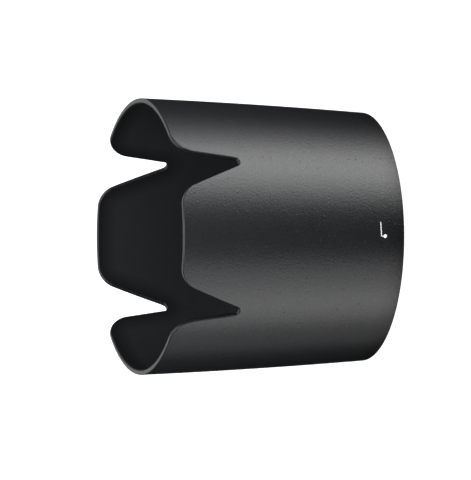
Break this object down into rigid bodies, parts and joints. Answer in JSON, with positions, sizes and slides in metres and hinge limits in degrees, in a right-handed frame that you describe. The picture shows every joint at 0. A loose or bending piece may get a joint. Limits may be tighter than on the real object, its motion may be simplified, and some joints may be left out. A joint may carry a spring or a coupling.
{
  "type": "petal lens hood",
  "caption": "Petal lens hood: flared matte black shell with a notched rim, flocked lining, screwed-in bayonet ring, sprung click detents and a white index mark.",
  "frame": {"origin": "centre of the rear rim's plane, on the optical axis; the hood stands on this rim", "axes": "+Z along the optical axis to the front; +X to the top wide petal; -Y to the narrow petal with the index mark"},
  "size_m": [0.1038, 0.1038, 0.0884],
  "materials": {
    "shell": "fine-textured matte black moulding, soft broad highlights",
    "ring": "satin black glass-filled nylon",
    "flock": "short dull black flock with no highlight, dark grey in strong light",
    "spring": "thin stainless spring strip",
    "screw": "blackened steel",
    "mark": "printed white paint"
  },
  "bodies": {
    "hood": {"petal_shell": "shell", "bayonet_ring": "ring", "flock_lining_top": "flock", "flock_lining_bottom": "flock", "flock_lining_left": "flock", "flock_lining_right": "flock", "ring_screw_1": "screw", "ring_screw_2": "screw", "ring_screw_3": "screw", "ring_screw_4": "screw", "ring_screw_5": "screw", "ring_screw_6": "screw", "spring_screw_1": "screw", "spring_screw_2": "screw", "spring_screw_3": "screw", "index_mark": "mark"},
    "spring_1": {"click_spring_1": "spring"},
    "spring_2": {"click_spring_2": "spring"},
    "spring_3": {"click_spring_3": "spring"}
  },
  "joints": [
    {"name": "click_spring_1_flex", "type": "hinge", "parent": "hood", "child": "spring_1", "pos_m": [0.04417, 0.00621, 0.0125], "axis": [0, 0, 1], "range_deg": [0, 4], "stiffness_Nm_per_rad": 0.35},
    {"name": "click_spring_2_flex", "type": "hinge", "parent": "hood", "child": "spring_2", "pos_m": [-0.02746, 0.03515, 0.0125], "axis": [0, 0, 1], "range_deg": [0, 4], "stiffness_Nm_per_rad": 0.35},
    {"name": "click_spring_3_flex", "type": "hinge", "parent": "hood", "child": "spring_3", "pos_m": [-0.01671, -0.04135, 0.0125], "axis": [0, 0, 1], "range_deg": [0, 4], "stiffness_Nm_per_rad": 0.35}
  ]
}
